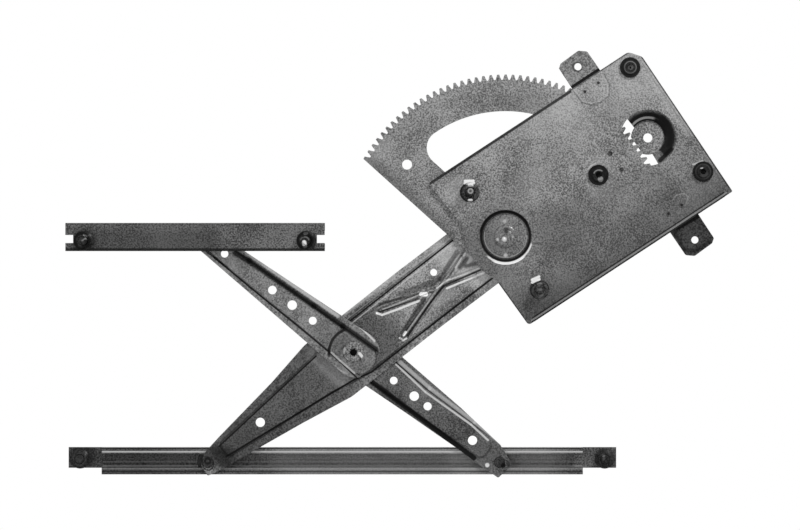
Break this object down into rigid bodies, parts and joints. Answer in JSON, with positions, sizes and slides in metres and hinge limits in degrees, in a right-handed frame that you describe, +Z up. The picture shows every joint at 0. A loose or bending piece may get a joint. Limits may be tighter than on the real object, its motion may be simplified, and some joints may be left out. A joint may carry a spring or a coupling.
{
  "type": "window regulator",
  "caption": "Crossed-arm window regulator: a toothed sector on a back plate swings a lift arm, and a cross arm with rollers keeps the sash channel level as it rises.",
  "frame": {"origin": "centre of the bolt hole in the upper mount tab, at the middle of the tab's sheet", "axes": "+X along the sash and guide channels to the right as seen from the fastener side, +Y through the door away from that side, +Z up"},
  "size_m": [0.6004, 0.0577, 0.3855],
  "materials": {
    "zinc_plate": "zinc plated, fine mottled grain",
    "zinc_tab": "zinc plated",
    "dark_tab": "zinc plated, dull",
    "dark_steel": "bare steel, dark",
    "black_collar": "black, half matt",
    "bolt_steel": "zinc plated, bright facets",
    "rivet_steel": "bare steel, turned",
    "channel_steel": "zinc plated, dark",
    "sector_steel": "zinc plated, fine mottled grain",
    "arm_steel": "zinc plated, fine mottled grain",
    "roller_plastic": "natural nylon"
  },
  "bodies": {
    "mounting": {"back_plate": "zinc_plate", "upper_mount_tab": "zinc_tab", "lower_mount_tab": "dark_tab", "mount_tab_rivets": "dark_steel", "motor_mount_bushes": "black_collar", "back_plate_studs": "bolt_steel", "back_plate_nuts": "bolt_steel", "main_pivot_rivet": "rivet_steel", "main_pivot_washer": "rivet_steel", "guide_channel": "channel_steel", "guide_channel_studs": "bolt_steel", "guide_channel_nuts": "bolt_steel"},
    "lift_arm": {"sector_gear": "sector_steel", "lift_arm": "arm_steel", "sector_rivets": "rivet_steel", "lift_roller_stud": "rivet_steel"},
    "cross_arm": {"cross_arm_upper": "arm_steel", "cross_arm_lower": "arm_steel", "cross_pivot_hub": "rivet_steel", "guide_roller_stud": "rivet_steel", "cross_roller_stud": "rivet_steel"},
    "lift_roller": {"lift_roller": "roller_plastic"},
    "cross_roller": {"cross_roller": "roller_plastic"},
    "guide_roller": {"guide_roller": "roller_plastic"},
    "sash": {"sash_channel": "channel_steel", "sash_studs": "bolt_steel", "sash_nuts": "bolt_steel"}
  },
  "joints": [
    {"name": "lift", "type": "hinge", "parent": "mounting", "child": "lift_arm", "pos_m": [-0.06541, -0.0026, -0.15302], "axis": [0, 1, 0], "range_deg": [0, 88]},
    {"name": "cross", "type": "hinge", "parent": "lift_arm", "child": "cross_arm", "pos_m": [-0.20257, -0.0026, -0.25713], "axis": [0, 1, 0], "range_deg": [-176, 0]},
    {"name": "lift_roller_turn", "type": "hinge", "parent": "lift_arm", "child": "lift_roller", "pos_m": [-0.33456, -0.0026, -0.35731], "axis": [0, 1, 0], "range_deg": [-88, 0]},
    {"name": "sash_slide", "type": "slide", "parent": "lift_roller", "child": "sash", "axis": [1, 0, 0], "range_m": [-0.058, 0.069]},
    {"name": "cross_roller_turn", "type": "hinge", "parent": "cross_arm", "child": "cross_roller", "pos_m": [-0.07059, -0.0026, -0.35731], "axis": [0, 1, 0], "continuous": true},
    {"name": "guide_roller_turn", "type": "hinge", "parent": "cross_arm", "child": "guide_roller", "pos_m": [-0.33974, -0.0026, -0.15302], "axis": [0, 1, 0], "continuous": true}
  ],
  "couplings": [
    {"joint": "cross", "follows": "lift", "ratio": -2},
    {"joint": "lift_roller_turn", "follows": "lift", "ratio": -1}
  ]
}
